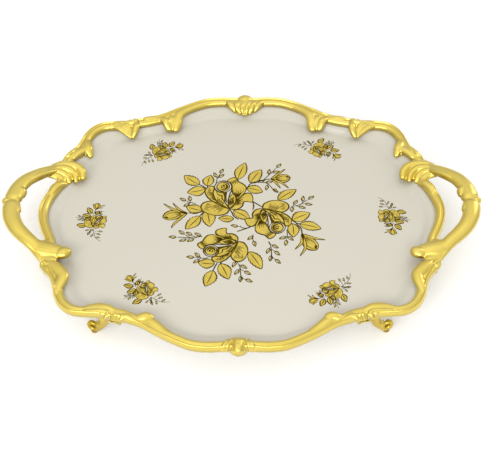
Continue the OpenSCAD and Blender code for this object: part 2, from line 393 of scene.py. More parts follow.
def gilt(name, light, deep, patina_and_crease_shade, polish, coat, low):
    """Satin gold over cast metal: patchy, rubbed on edges, with patina and painted shade in creases,
    and painted shade on surfaces that face down or sideways.
    """
    n = Nodes(name)
    patches = n.ramp(n.noise(26, 3), [(0.3, deep), (0.7, light)])
    # Creases are darkened: partly patina, partly painted shade.
    hollow = n.span(n.pointiness(), 0.38, 0.47, 1, 0)
    toned = n.mix(hollow, patches, patina_and_crease_shade)
    edge = n.span(n.pointiness(), 0.54, 0.66, 0, 0.5)
    rubbed = n.mix(edge, toned, tuple(min(1, c * 1.1 + 0.02) for c in light))
    # Painted shade: surfaces that face down or sideways are darkened by up to low.
    skirt = n.span(n.upward(), 0.05, 0.5, low, 0)
    n.colour(n.mix(skirt, rubbed, tuple(0.66 * c for c in deep)))
    n.rough(n.span(n.noise(90, 4), 0.3, 0.7, polish - 0.03, polish + 0.04))
    n.bump(n.noise(420, 2), 0.02, 0.1)
    n.set(Metallic=1.0, Coat_Weight=coat, Coat_Roughness=0.28, Coat_IOR=1.65)
    return n.material


def glaze():
    n = Nodes("cream_glaze")
    tone = n.ramp(n.noise(4, 2), [(0.3, (0.580, 0.549, 0.468)), (0.7, (0.592, 0.561, 0.480))])
    n.colour(tone)
    n.rough(n.span(n.noise(60, 4), 0.3, 0.7, 0.28, 0.32))
    n.bump(n.noise(20, 1), 0.02, 0.1)
    n.set(Specular_IOR_Level=0.4, Coat_Weight=0.12, Coat_Roughness=0.12)
    return n.material


def gold_print():
    n = Nodes("gold_print_ink")
    tone = n.ramp(n.noise(140, 5), [(0.3, (0.58, 0.43, 0.070)), (0.7, (0.70, 0.535, 0.105))])
    grain = n.span(n.noise(1800, 2), 0.35, 0.65, 0.0, 0.22)
    n.colour(n.mix(grain, tone, (0.32, 0.23, 0.02)))
    n.rough(n.span(n.noise(400, 3), 0.3, 0.7, 0.36, 0.5))
    n.bump(n.noise(1500, 2), 0.01, 0.3)
    n.set(Metallic=0.25, Specular_IOR_Level=0.2)
    return n.material


def dark_print():
    n = Nodes("brown_print_ink")
    tone = n.ramp(n.noise(260, 4), [(0.3, (0.055, 0.034, 0.001)), (0.7, (0.090, 0.058, 0.002))])
    n.colour(tone)
    n.rough(n.span(n.noise(500, 3), 0.3, 0.7, 0.42, 0.6))
    n.bump(n.noise(1500, 2), 0.01, 0.3)
    n.set(Specular_IOR_Level=0.02)
    return n.material


def steel():
    n = Nodes("brass_plated_steel")
    n.colour(n.ramp(n.noise(220, 6), [(0.3, (0.56, 0.47, 0.25)), (0.7, (0.68, 0.58, 0.33))]))
    n.rough(n.span(n.noise(900, 3), 0.3, 0.7, 0.28, 0.44))
    n.bump(n.noise(1600, 2), 0.02, 0.4)
    n.set(Metallic=1.0)
    return n.material


def rubber():
    n = Nodes("amber_rubber")
    n.colour(n.ramp(n.noise(500, 4), [(0.3, (0.40, 0.28, 0.09)), (0.7, (0.48, 0.35, 0.12))]))
    n.rough(n.span(n.noise(700, 3), 0.3, 0.7, 0.6, 0.8))
    n.bump(n.noise(1200, 3), 0.05, 0.4)
    return n.material


# Crease colours are partly patina, partly painted shade; low sets how strongly painted shade darkens
# surfaces facing down or sideways.
RIM_GOLD = gilt("satin_gilt", light=(0.78, 0.600, 0.098), deep=(0.73, 0.550, 0.060),
                patina_and_crease_shade=(0.31, 0.225, 0.006), polish=0.31, coat=0.95, low=0.85)
FOOT_GOLD = gilt("foot_gilt", light=(0.70, 0.53, 0.080), deep=(0.56, 0.40, 0.035),
                 patina_and_crease_shade=(0.14, 0.085, 0.002), polish=0.3, coat=0.1, low=0.15)
GLAZE = glaze()
GOLD_PRINT = gold_print()
DARK_PRINT = dark_print()
STEEL = steel()
RUBBER = rubber()


# ------------ frame castings

def fan(rows):
    """Limbs side by side; each row is (points, radii, flatness)."""
    return [limb(raised(p), r, flat) for p, r, flat in rows]


def boss_body(reach):
    """Round dome in the middle of a long side, and the posts that carry its clip."""
    return [limb(raised([(-reach, 176, -1.2), (0, 176, -1), (reach, 176, -1.2)]), [8, 8.4, 8], 0.84),
            prism(capsule((-6, 176.2), (6, 176.2), POST_R), PLATE_TOP, RAIL_Z + 1)]


def back_boss():
    """Palmette behind the dome whose flutes fall over the dish."""
    core = limb(raised([(0, 172, 0.4), (0, 166, 0), (0, 160.5, -3)]), [6, 5.6, 3.4], 0.7)
    hood = limb(raised([(-17, 171.5, -0.4), (-8, 169.5, 0.4), (0, 169, 0.6), (8, 169.5, 0.4),
                        (17, 171.5, -0.4)]), [4, 5.4, 5.6, 5.4, 4], 0.66)
    flutes = fan([
        ([(3.6, 169, 1.4), (3.1, 164.4, 1.2), (2.4, 160, -1.2), (1.6, 156.4, -5)],
         [2.6, 3.1, 3, 2], 1),
        ([(10.6, 170, 1), (9.6, 166, 1), (8, 161.8, -1.4), (6.2, 158.6, -4.6)],
         [3, 3.6, 3.3, 2.3], 1),
        ([(20.4, 172.4, 0), (17.6, 168.8, 0.2), (14.6, 165, -1.2), (11.8, 161.8, -4)],
         [3, 3.9, 3.6, 2.5], 1),
    ])
    shells = boss_body(2) + [core, hood]
    for shell in flutes:
        shells += both_x(shell)
    return shells


def front_boss():
    """Smooth hood over the dome with one rope at each side."""
    hood = limb(raised([(-12, 172, -0.4), (-6, 170.4, 0), (0, 169.6, 0.2), (6, 170.4, 0),
                        (12, 172, -0.4)]), [4, 4.8, 5.2, 4.8, 4], 0.66)
    neck = limb(raised([(0, 176, 2), (0, 171, 2.2), (0, 168, 0)]), [5.6, 5.4, 4], 0.66)
    shells = boss_body(0.5) + [hood, neck]
    for x in (8.4, 12):
        rope = limb(raised([(x + 2.6, 178.4, -1.6), (x + 1.4, 175.8, 2.8), (x - 0.8, 171.4, 2.8),
                            (x - 2.4, 167.6, 0.8)]), [1.6, 1.9, 1.9, 1.5])
        shells += both_x(rope)
    return shells


def hanging_lobe():
    """Cleft lobe that leaves the back rail and falls over the dish."""
    main = limb(raised([(58, 165.5, -0.6), (68, 158.6, -0.2), (75, 151.5, -0.2),
                        (77.6, 144.5, -1.8), (78, 138.5, -3.6), (78.8, 133.6, -5.2)]),
                [4.6, 5.4, 6, 6.4, 6.4, 5.4], 0.7)
    small = limb(raised([(99, 143, -0.8), (94, 141.8, 0), (90, 139, 0), (88, 136.2, -2.4),
                         (86.2, 133, -5)]), [3, 4.2, 5, 5.4, 4.8], 0.8)
    core = limb(raised([(86, 149, -1.6), (84, 143, -1), (82.8, 138, -2.8), (82.6, 134.4, -4.8)]),
                [4.6, 5.2, 4.8, 4.2], 0.8)
    return [main, small, core]


def curled_lobe():
    """Blunt lobe that rises on the inner side of the front rail."""
    web = limb(raised([(62, 163.5, -0.4), (73, 155.5, 0), (82, 148, 0.4), (88, 143.4, 0.4)]),
               [4, 4.8, 5.6, 5.2], 0.62)
    knob = limb(raised([(98, 143.4, 0.4), (92, 141.4, 1.2), (86.8, 141.2, 1.0), (83.6, 143.6, 0)]),
                [3.8, 4.8, 5, 4.4], 0.8)
    return [web, knob]


def back_start():
    """Smooth rounded start of the back rail at the corner knot."""
    return [limb(raised([(113, 141.4, 0.8), (107, 142.2, 1), (101, 144.6, 0.4), (95, 147.6, -0.4)]),
                 [3.8, 3.9, 3.4, 2.6], 0.9)]


def front_start():
    """Scroll and slanted beads that start the front rail at the corner knot."""
    scroll = limb(raised([(112, 143.6, 1), (108.6, 141.4, 2.2), (104.4, 142.6, 2.4),
                          (97, 146.6, 1.6)]), [2.4, 2.8, 2.4, 1.6])
    lip = limb(raised([(112.5, 138.6, 0), (108, 139, 0.8), (103, 141.2, 0.8), (97, 144, 0.2)]),
               [3, 3.6, 3.4, 2.6], 0.9)
    beads = [limb(raised([(*rim_at(s, 5.0), -1), (*rim_at(s + 0.1, 2.2), 3.2)]), [2.1, 1.9])
             for s in (14.18, 14.44, 14.7)]
    return [scroll, lip] + beads


def knot_shoulder():
    """Broad inner shoulder of the front rail beside the corner knot."""
    return limb(raised([(118.5, 133.8, 0), (110, 137.2, 0.4), (101, 141.6, 0.4), (93, 145, 0)]),
                [4.2, 4.8, 4.6, 3.8], 0.74)


def long_rail(boss, lobes):
    """Moulding between two corner knots, with its boss and the lobes at both sides."""
    shells = [moulding(CORNER_KNOT, 2 * SPAN - CORNER_KNOT)] + boss
    for shell in lobes:
        shells += both_x(shell)
    return shells


def back_corner_lobes():
    """Fluted lobes that hang from a back corner over the dish."""
    return fan([
        ([(152, 132, 0), (143, 128.2, -0.6), (135.6, 123.6, -2.8), (129.6, 118.8, -5.2)],
         [2.8, 3.2, 3, 2.2], 0.9),
        ([(145, 133.6, 0.8), (138.6, 130.2, 1), (133.2, 125.6, -1), (129.4, 120, -4.6)],
         [2.4, 2.7, 2.5, 1.9], 1),
        ([(138, 135, 1.2), (134.2, 131.8, 1.8), (131, 127.2, -0.2), (128.8, 121, -4.2)],
         [2.4, 2.6, 2.3, 1.8], 1),
        ([(136, 133, -1.6), (131.4, 128.6, -2.2), (128.6, 122.8, -4.8)], [4.4, 4.2, 2.6], 0.7),
        ([(123.4, 134, 0), (123.2, 129.4, 0.4), (124.4, 124, -1.8), (126.6, 119, -5)],
         [4, 4.4, 4.2, 3], 0.9),
        ([(176.6, 107, -0.6), (175.6, 100, 0), (173.2, 92.6, 0), (170.8, 87, -3.2)],
         [4, 5.6, 5.4, 3.8], 0.7),
        ([(188, 81, 0), (184, 86.4, 0.4), (179, 91, 0.2)], [4.4, 5, 5], 0.7),
        ([(178, 95, 0.4), (176.6, 90, -1.4), (175.8, 87, -3.8)], [3, 2.8, 2], 1),
        ([(183, 90, 0.4), (181.6, 86.6, -1.2), (180.8, 84.2, -3.4)], [2.8, 2.6, 1.8], 1),
        ([(187.6, 84.6, 0.4), (186.4, 81.6, -1), (185.6, 79.6, -3)], [2.6, 2.4, 1.6], 1),
    ])


def front_corner_lobes():
    """Round curl at the handle knot and smooth blunt webs on the inner side of a front corner."""
    curl = [(*rim_at(5.45, 0.4), 3.4), (*rim_at(5.2, 2.2), 3.2), (*rim_at(5.3, 4.4), 1.4),
            (*rim_at(5.9, 4.2), 1.8), (*rim_at(6.8, 3.2), 3), (*rim_at(8, 2.4), 3)]
    return [limb(raised(curl), [2.2, 2.6, 2.6, 2.5, 2, 1.5])] + fan([
        ([(149, 131.6, 0), (139, 130, 0.4), (129, 130.8, 0.8), (121.4, 133.4, 0.4)],
         [4, 5.4, 5.8, 4.6], 0.72),
        ([(194, 72, 0.6), (187.6, 76.8, 1), (180.8, 83, 1), (175.8, 89.6, 0.8), (176, 96.8, 0.8),
          (177.6, 104, 0.6), (178, 111, 0.2)], [4.6, 6.2, 7, 6.8, 6.2, 5.2, 4], 0.66),
    ])


def corner_rail(lobes):
    """Moulding from the handle knot to the corner knot, with the curls at both ends."""
    hook = limb(raised([(148, 134.4, 1.4), (138, 134.6, 2.2), (130, 135, 2.4), (125.6, 137, 2.4),
                        (126, 140, 1.2), (128.4, 141.4, -0.4)]),
                [1.8, 2.2, 2.4, 2.4, 2.4, 1.8])
    eye = limb(raised([(129.8, 138, 2.0), (131.4, 138, 2.0)]), [1.8, 1.8])
    start = limb(raised([(196.6, 79.4, 0.8), (193.4, 80.6, 2), (191.4, 84, 2.4), (188, 90, 1.6),
                         (184, 97, 0.8)]), [2, 2.8, 2.8, 2.4, 1.6])
    posts = [joint_post(s) for s in (HANDLE_KNOT + POST_STEP, CORNER_KNOT - POST_STEP)]
    return [moulding(HANDLE_KNOT, CORNER_KNOT), hook, eye, start] + posts + lobes


def handle():
    """Inner moulding, raised loop with its middle knot, and the leaves at both roots."""
    arm = [(196, 64, 1), (205, 57.2, 3.6), (213, 50, 7), (221.6, 42.6, 9), (230, 33.4, 11),
           (236.2, 21.4, 12), (238.6, 10, 12), (238.8, 4.5, 12), (239, 1, 12)]
    radii = [6, 6.8, 7.4, 8, 8.5, 9, 9.6, 9.2, 7.4]
    loop = limb(raised(arm), radii, 0.67, cuts=8, sides=28)
    eye = limb(raised([(235, 18.4, 12), (231.4, 14.8, 12.4), (231, 10.6, 12.2)]), [5, 5.2, 4.4])
    pearl = limb(raised([(232.4, -8.6, 12.6), (231.2, -12.6, 12.6)]), [4, 3.6])
    crotch = limb(raised([(198, 47.4, 1), (203, 50.6, 2), (208.6, 51, 3.2)]), [5, 6, 6], 0.6)
    ridge = limb(raised([(214, 55, 4.6), (208.6, 60.4, 3.6), (203.4, 66.4, 2.8),
                         (199.6, 71.6, 1.2)]), [2, 2.6, 2.6, 1.8])
    back_leaf = fan([
        ([(211, 58, 3.6), (201, 63.2, 3.4), (190, 64.6, 2.8), (181.4, 62.6, 1.6),
          (176, 57.6, -0.2), (174.4, 51.4, -2.8)], [4, 4.6, 5, 5, 4.8, 4], 0.9),
        ([(210, 55, 4), (200, 58.4, 4), (191, 58.2, 3), (184.8, 54.6, 0.8), (182, 49.8, -1.4),
          (181.2, 46.2, -3.6)], [3, 3.8, 4, 3.8, 3.4, 2.8], 1),
        ([(211, 51.6, 4), (203, 53.6, 4), (195.8, 52.6, 2.6), (190.6, 49.2, 0.2),
          (188.2, 44.4, -3.2)], [2.8, 3.4, 3.6, 3.4, 2.6], 1),
        ([(211, 48.4, 3.6), (205.6, 49.4, 3), (200, 48.4, 1.8), (196, 45.4, 0),
          (194, 41.8, -2.6)], [2.6, 3, 3.4, 3.2, 2.3], 1),
        ([(206, 56, 0.6), (196, 56, 0.2), (187, 54, -1.6), (181, 50.4, -4)], [6, 7, 6.6, 5], 0.5),
        ([(203.4, 52.6, 5.2), (209.4, 46.8, 8.8), (217, 40.2, 11.2), (225, 31.6, 12.6)],
         [2.6, 3.1, 3.1, 2], 1),
        ([(192.4, 39.6, -1.2), (197, 37, 0.8), (201.6, 31, 1.2), (204.6, 23, 0.8)],
         [3.8, 4.8, 5, 4.2], 0.75),
    ])
    front_leaf = fan([
        ([(222, -42.4, 8), (213, -50.4, 5.8), (203, -55.6, 3.6), (193, -58, 2.6), (184, -59, 1.6)],
         [5.6, 7, 9, 9.6, 8], 0.55),
        ([(186, -62.4, 1.4), (180.6, -61.8, 1.6), (177.4, -60, 1.2)], [4.8, 6.6, 6.8], 0.8),
        ([(196, -66, 0.6), (190, -70, 0.6)], [6, 6.4], 0.6),
    ])
    shells = [moulding(-HANDLE_KNOT, HANDLE_KNOT)] + back_leaf + front_leaf
    for shell in (loop, crotch, ridge):
        shells += both_y(shell)
    shells += [eye, pearl, limb([(243.2, 0, GRIP_Z + 0.4), (245.2, 0, GRIP_Z + 0.8)], [5, 4.9])]
    return shells + [joint_post(s) for s in (HANDLE_KNOT - POST_STEP, POST_STEP - HANDLE_KNOT)]


def build_castings():
    back = long_rail(back_boss(), hanging_lobe() + back_start())
    seated(cast("long_casting_back", back, RIM_GOLD), "gilt", "rail_back")
    near = curled_lobe() + [knot_shoulder()] + front_start()
    front = long_rail(front_boss(), near)
    seated(cast("long_casting_front", [mirrored(shell, y=-1) for shell in front], RIM_GOLD),
           "gilt", "rail_front")
    for end, way, lobes in (("back", 1, back_corner_lobes()), ("front", -1, front_corner_lobes())):
        shells = [mirrored(shell, y=way) for shell in corner_rail(lobes)]
        corner = cast("corner_casting_" + end + "_right", shells, RIM_GOLD)
        seated(corner, "gilt", "corner_" + end + "_right")
        twin = mirror_copy(corner, "corner_casting_" + end + "_left", x=-1)
        seated(twin, "gilt", "corner_" + end + "_left")
    right = seated(cast("handle_casting_right", handle(), RIM_GOLD), "gilt", "handle_right")
    seated(mirror_copy(right, "handle_casting_left", x=-1), "gilt", "handle_left")


# ------------ feet

FOOT_ROOT = np.array((130.0, 132.0))
FOOT_DIR = np.array((14.0, -5.0)) / math.hypot(14, 5)
TOE_REACH = 15.5
VOLUTE_R = 4.9
VOLUTE_Z = PAD_TOP + 7.2


def foot_at(r, z):
    """Point at distance r from the foot's root towards its toe."""
    x, y = FOOT_ROOT + r * FOOT_DIR
    return (x, y, z)


def volute_at(degrees, share):
    """Point on the toe's curl, at a share of its radius."""
    a = math.radians(degrees)
    return foot_at(TOE_REACH + share * VOLUTE_R * math.cos(a),
                   VOLUTE_Z + share * VOLUTE_R * math.sin(a))


def foot():
    """Plate, leafy leg and outward curled toe of the back right foot."""
    axis = (FOOT_DIR[1], -FOOT_DIR[0], 0)
    top = (PLATE_Z + PLATE_TOP) / 2
    path = [foot_at(0.5, top), foot_at(1, PLATE_Z - 6), foot_at(4, 17)]
    path += [volute_at(a, k) for a, k in ((150, 1.5), (195, 1.12), (240, 1), (285, 1),
                                          (330, 1), (375, 0.98), (420, 0.92), (470, 0.8),
                                          (530, 0.62))]
    leg = limb(path, [5.4, 4.8, 4.2, 3.6, 3.0, 2.5, 2.3, 2.3, 2.2, 2.0, 1.7, 1.3], 1.3,
               up=axis, cuts=8)
    shells = [leg]
    for lean in (-1, 0, 1):
        off = np.array(axis) * 2.6 * lean
        vein = [np.array(foot_at(4.6 - abs(lean), top)) + off * 1.5,
                np.array(foot_at(5.6 - abs(lean), 24)) + off * 1.1,
                np.array(foot_at(7.4 - abs(lean), 17.5)) + off * 0.8,
                np.array(volute_at(120, 1.35)) + off * 0.6]
        shells.append(limb(vein, [1.6, 1.3, 1.1, 0.7], up=axis))
    for k in range(5):
        for side in (-1, 1):
            z = 13 + 3.4 * k
            centre = np.array(foot_at(4.2 - 0.55 * k, z)) + np.array(axis) * side * (3.6 + 0.5 * k)
            shells.append(limb([centre, centre + (0, 0, 0.5)], [1.1, 1.1], up=axis))
    root = rim_at(CORNER_KNOT - 0.1, -1)
    joint = [rim_at(CORNER_KNOT + step, 1.8) for step in (-POST_STEP, POST_STEP)]
    for p, q, r in ((*joint, POST_R),
                    (rim_at(CORNER_KNOT, 0.6), rim_at(CORNER_KNOT, -4.5), 4),
                    (root, FOOT_ROOT, 4.6)):
        shells.append(prism(capsule(p, q, r), PLATE_Z, PLATE_TOP - 0.1))
    return shells


def build_feet():
    first = seated(cast("scroll_foot_back_right", foot(), FOOT_GOLD, voxel=0.45, passes=3),
                   "foot_gilt", "foot_back_right")
    for name, x, y in (("back_left", -1, 1), ("front_right", 1, -1), ("front_left", -1, -1)):
        seated(mirror_copy(first, "scroll_foot_" + name, x, y), "foot_gilt", "foot_" + name)


# ------------ dish

RIM_STEPS = 5
FLANGE_T = 2.8
FLANGE_INNER = -5
FLANGE_OUTER = -0.6
WELL = np.array((186.0, 150.0))
WELL_POWER = 0.86
RIM_SHRINK = 0.89
TOP_SHARES = (0.02, 0.2, 0.4, 0.6, 0.8, 0.9, 0.97)
UNDER_SHARES = (0.9, 0.5, 0.02)
TOP_SLOPE_RINGS = 25
UNDER_SLOPE_RINGS = 9


def well_at(s):
    """Plan outline of the flat well: halfway between a squarish oval and a smaller rim."""
    q = rim(s)
    a = math.atan2(q[1] / WELL[1], q[0] / WELL[0])
    c, d = math.cos(a), math.sin(a)
    oval = WELL * (math.copysign(abs(c) ** WELL_POWER, c), math.copysign(abs(d) ** WELL_POWER, d))
    return (oval + RIM_SHRINK * q) / 2


def fall(f):
    """Height of the slope, from 1 at the flange (f = 0) to 0 at the well (f = 1)."""
    return 1 - f ** 3 * (10 - 15 * f + 6 * f * f)


def build_dish():
    places = [i / RIM_STEPS for i in range(len(KNOTS) * RIM_STEPS)]
    inner = np.array([rim_at(s, FLANGE_INNER) for s in places])
    edge = np.array([rim_at(s, FLANGE_OUTER) for s in places])
    well = np.array([well_at(s) for s in places])

    def slope(low, drop, shares):
        return [at_height(inner + (well - inner) * f, low + drop * fall(f)) for f in shares]

    depth = FLANGE_Z - WELL_Z
    under_depth = depth + (WELL_Z - DISH_UNDER_Z) - FLANGE_T
    rings = [at_height(well * k, WELL_Z) for k in TOP_SHARES]
    rings += slope(WELL_Z, depth, np.linspace(1, 0, TOP_SLOPE_RINGS))
    rings += [at_height(edge, FLANGE_Z), at_height(edge, FLANGE_Z - FLANGE_T)]
    rings += slope(DISH_UNDER_Z, under_depth, np.linspace(0, 1, UNDER_SLOPE_RINGS))
    rings += [at_height(well * k, DISH_UNDER_Z) for k in UNDER_SHARES]
    points, faces = skin(rings)
    dish = mesh_object("glazed_dish", points, faces, GLAZE)
    recalculated(dish)
    smooth_shaded(dish)
    seated(dish, "glaze", "dish")


# ------------ prints on the glaze

# Height of the lowest layer above the glaze, and from one layer to the next.
LIFT = 0.06
LAYER = 0.02
LEAF_LEVEL = 0
BUD_LEVEL = 1
ROSE_TOP = 5
LEAST_HALF_LINE = 0.2


def turned(degrees, scale):
    """Matrix that turns and scales plan points."""
    a = math.radians(degrees)
    return scale * np.array(((math.cos(a), math.sin(a)), (-math.sin(a), math.cos(a))))


ROSE_HEART = np.array((0.0, 34.0))
# Petals of a rose from back to front: (layer, outline).
ROSE_PETALS = [
    (2, [(0, 1), (-1.9, -3.7), (-5, -6.3), (-11.8, -7), (-17.6, -5.6), (-23, -2), (-28, 3.4),
         (-29, 9.7), (-26, 14.3), (-20, 16), (-15, 14.6), (-10.6, 11.2), (-5.6, 5.6)]),
    (2, [(9.4, 9.6), (13.8, 13), (20.6, 18), (25.6, 17.9), (28, 14.1), (27.6, 8), (25.6, 4.0),
         (21, 6.2), (17, 6.2), (14.9, 1.6), (10.9, -1.7), (5.6, -2.6), (1, 0), (4, 2), (7, 5)]),
    (3, [(-14.8, 14.6), (-18.8, 20.8), (-20.6, 27.3), (-20.2, 32.4), (-16.4, 36.8),
         (-11.8, 37.8), (-9.6, 34.4), (-12.3, 27.4), (-12.2, 19.2), (-10.1, 11.9)]),
    (3, [(8.8, 12), (10.8, 16), (8.6, 20.9), (8.6, 27.8), (10.0, 33.6), (7.8, 38.8),
         (6.6, 42.2), (11.3, 44.8), (16.4, 44.4), (18, 38), (22, 33), (24.2, 28.3),
         (22.8, 22.5), (18.8, 17.8), (13.8, 13.6)]),
    (4, [(0, 0.5), (-4.9, 5.2), (-9.8, 11.6), (-12.1, 19.2), (-12.1, 27.4), (-9.3, 33),
         (-8, 29.2), (-5, 26.6), (-2, 26.9), (-1.2, 20), (-2.6, 12), (-1.6, 6.5)]),
    (4, [(-0.2, 3), (0.6, 8), (1.6, 13.6), (4.6, 17.6), (8.2, 20.6), (10.4, 16), (9.4, 10),
         (6.6, 5.6), (2.8, 2.6)]),
]
# Dark outlines: the gap below the heart, then two creases at the stem.
ROSE_GAPS = [
    [(-3.6, 26.2), (0, 25.6), (2.6, 25.4), (1.4, 21), (0.2, 16), (-0.8, 9), (-1.8, 12),
     (-1.2, 18), (-1.6, 23)],
    [(-16.5, 15.4), (-11, 10.4), (-5.8, 4.8), (-0.6, -0.6), (-4.2, 2.0), (-9, 6.4)],
    [(0, 0.4), (4.4, 3.4), (8.2, 8.2), (6.2, 3.4), (3.4, 0.6)],
]
# Shading of the petals: (edge it starts from, edge it runs to, lines, reach).
ROSE_HATCHES = [
    (((1, 4), (6.4, 6.4)), ((2.2, 15), (9, 17)), 9, 0.75),
    (((3, 14), (9, 17)), ((2.4, 8), (7, 9)), 6, 0.5),
    (((9.6, 14), (13.4, 14.8)), ((9.6, 30), (23, 25)), 12, 0.66),
    (((8.4, 40), (16.4, 42)), ((10, 30), (17, 33)), 9, 0.6),
    (((7, 3), (9.6, 9.4)), ((18, 4.4), (21, 15.6)), 9, 0.62),
    (((-11, 13), (-12.2, 27)), ((-18.8, 23), (-18.6, 33)), 10, 0.62),
    (((-15, 36), (-19.6, 28)), ((-12.6, 27), (-14, 19)), 6, 0.45),
    (((-5, 2.4), (-12.6, 9.6)), ((-13, -4.6), (-25, 7)), 9, 0.7),
    (((-27.6, 4), (-22, 14.4)), ((-17, 1.6), (-15, 9)), 7, 0.5),
    (((-5, 6.6), (-10.6, 14.6)), ((-3.6, 11), (-8.4, 21)), 9, 0.8),
]


class Print:
    """Flat gold shapes and dark lines, drawn in millimetres on the well."""

    def __init__(self):
        self.shapes = {"gold": [], "dark": []}
        self.turn = turned(0, 1.0)
        self.origin = np.zeros(2)
        self.scale = 1.0

    def sub(self, x, y, degrees, scale):
        """A pen placed inside this one."""
        child = Print()
        child.shapes = self.shapes
        child.turn = turned(degrees, scale) @ self.turn
        child.origin = np.array((x, y)) @ self.turn + self.origin
        child.scale = self.scale * scale
        return child

    def fill(self, outline, level, ink="gold"):
        p = np.asarray(outline) @ self.turn + self.origin
        self.shapes[ink].append((p, [tuple(range(len(p)))], level))

    def line(self, points, width, level, closed=False, taper=0.25):
        """A pen line, thinner at its ends."""
        p = np.asarray(points, float)
        ahead = np.gradient(p, axis=0)
        if closed:
            ahead = np.roll(p, -1, 0) - np.roll(p, 1, 0)
        ahead /= np.maximum(np.linalg.norm(ahead, axis=1), 1e-6)[:, None]
        t = np.linspace(0, 1, len(p))
        half = np.full(len(p), width / 2)
        if closed:
            half = half * (1 + 0.3 * np.sin(4 * math.pi * t))
        else:
            half = half * (taper + (1 - taper) * np.sin(math.pi * np.clip(t, 0.02, 0.98)))
        half = np.maximum(half, LEAST_HALF_LINE / self.scale)
        side = np.column_stack([-ahead[:, 1], ahead[:, 0]]) * half[:, None]
        n = len(p)
        both = np.vstack([p + side, p - side]) @ self.turn + self.origin
        last = n if closed else n - 1
        faces = [(i, n + i, n + (i + 1) % n, (i + 1) % n) for i in range(last)]
        self.shapes["dark"].append((both, faces, level + 0.5))

    def shape(self, knots, level, width):
        """A gold shape with a smooth dark outline."""
        outline = closed_spline(knots, 5)
        self.fill(outline, level)
        self.line(outline, width, level, closed=True)

    def curve(self, knots, width, level, taper=0.25):
        """A smooth pen line through a few points."""
        self.line(spline(knots, 6), width, level, taper=taper)

    def hatch(self, start, end, count, width, level, reach):
        """Fan of short lines from one edge towards another; each edge is two points."""
        s0, s1, e0, e1 = (np.array(p, float) for p in (*start, *end))
        for k in range(count):
            t = (k + 0.5) / count
            a, b = s0 + (s1 - s0) * t, e0 + (e1 - e0) * t
            b = a + (b - a) * (reach + 0.22 * math.sin(2.4 * k + 1))
            self.line(spline([a, (a + b) / 2, b], 4), width, level, taper=0.15)

    def leaf(self, base, tip, width, teeth=7):
        """Toothed leaf with a bent rib."""
        base, tip = np.array(base, float), np.array(tip, float)
        axis = tip - base
        length = np.linalg.norm(axis)
        side = np.array((-axis[1], axis[0])) / length
        t = np.linspace(0, 1, 4 * teeth + 1)
        half = 0.5 * width * np.sin(math.pi * t ** 0.86) ** 0.82
        saw = 1 + 0.09 * (((np.arange(len(t)) % 4) - 1.5) / 1.5) * (t > 0.1) * (t < 0.95)
        bend = 0.05 * width * np.sin(math.pi * t)
        left = [base + axis * a + side * (h * g + c) for a, h, g, c in zip(t, half, saw, bend)]
        right = [base + axis * a - side * (h * g - c) for a, h, g, c in zip(t, half, saw, bend)]
        outline = left[1:] + right[-2:0:-1]
        outline.append(base)
        self.fill(outline, LEAF_LEVEL)
        self.line(outline, 1.1, LEAF_LEVEL, closed=True)
        rib = [base + axis * a + side * 0.05 * width * math.sin(math.pi * a)
               for a in (0.0, 0.3, 0.6, 0.82)]
        self.curve(rib, 1.0, LEAF_LEVEL)

    def leaflet(self, centre, away, length, width, ink):
        """Small leaf on a sprig: gold on one half only, an outline and one vein."""
        centre = np.array(centre, float)
        axis = centre - np.array(away, float)
        axis = axis / np.linalg.norm(axis)
        side = np.array((-axis[1], axis[0]))
        t = np.linspace(0, 1, 9)
        half = 0.5 * width * np.sin(math.pi * t ** 0.8)
        base = centre - axis * length / 2
        left = [base + axis * length * a + side * h for a, h in zip(t, half)]
        right = [base + axis * length * a - side * h for a, h in zip(t, half)]
        self.fill(left, LEAF_LEVEL)
        self.line(left + right[-2:0:-1], ink, LEAF_LEVEL, closed=True)
        self.curve([base, centre, centre + axis * length * 0.28], 0.6 * ink, LEAF_LEVEL)
        self.curve([away, base], 0.8 * ink, LEAF_LEVEL)

    def sprig(self, stem, leaflets, length=7.6, width=3.6, ink=1.0):
        """Thin stem with leaflets that lean towards its tip."""
        line = spline(stem, 6)
        self.line(line, ink, LEAF_LEVEL, taper=0.6)
        for spot in leaflets:
            nearest = np.argmin(np.linalg.norm(line - spot, axis=1))
            self.leaflet(spot, line[max(nearest - 3, 0)], length, width, ink)

    def sepal(self, base, middle, tip, width, level, ink):
        """Narrow curved leaf at the foot of a bud."""
        spine = spline([base, middle, tip], 6)
        ahead = np.gradient(spine, axis=0)
        ahead /= np.linalg.norm(ahead, axis=1)[:, None]
        side = np.column_stack([-ahead[:, 1], ahead[:, 0]])
        swell = np.sin(math.pi * np.linspace(0.1, 1, len(spine)) ** 0.8)
        half = 0.5 * width * swell[:, None] * side
        outline = np.vstack([spine + half, (spine - half)[-2::-1]])
        self.fill(outline, level)
        self.line(outline, ink, level, closed=True)

    def bud(self, base, tip, width, sepals):
        """Closed bud: narrow cup, tulip shaped body and an open dark mouth near the tip."""
        small = width < 8
        base, tip = np.array(base, float), np.array(tip, float)
        axis = tip - base
        side = np.array((-axis[1], axis[0])) / np.linalg.norm(axis) * width

        def at(rows):
            return [base + axis * a + side * b for a, b in rows]

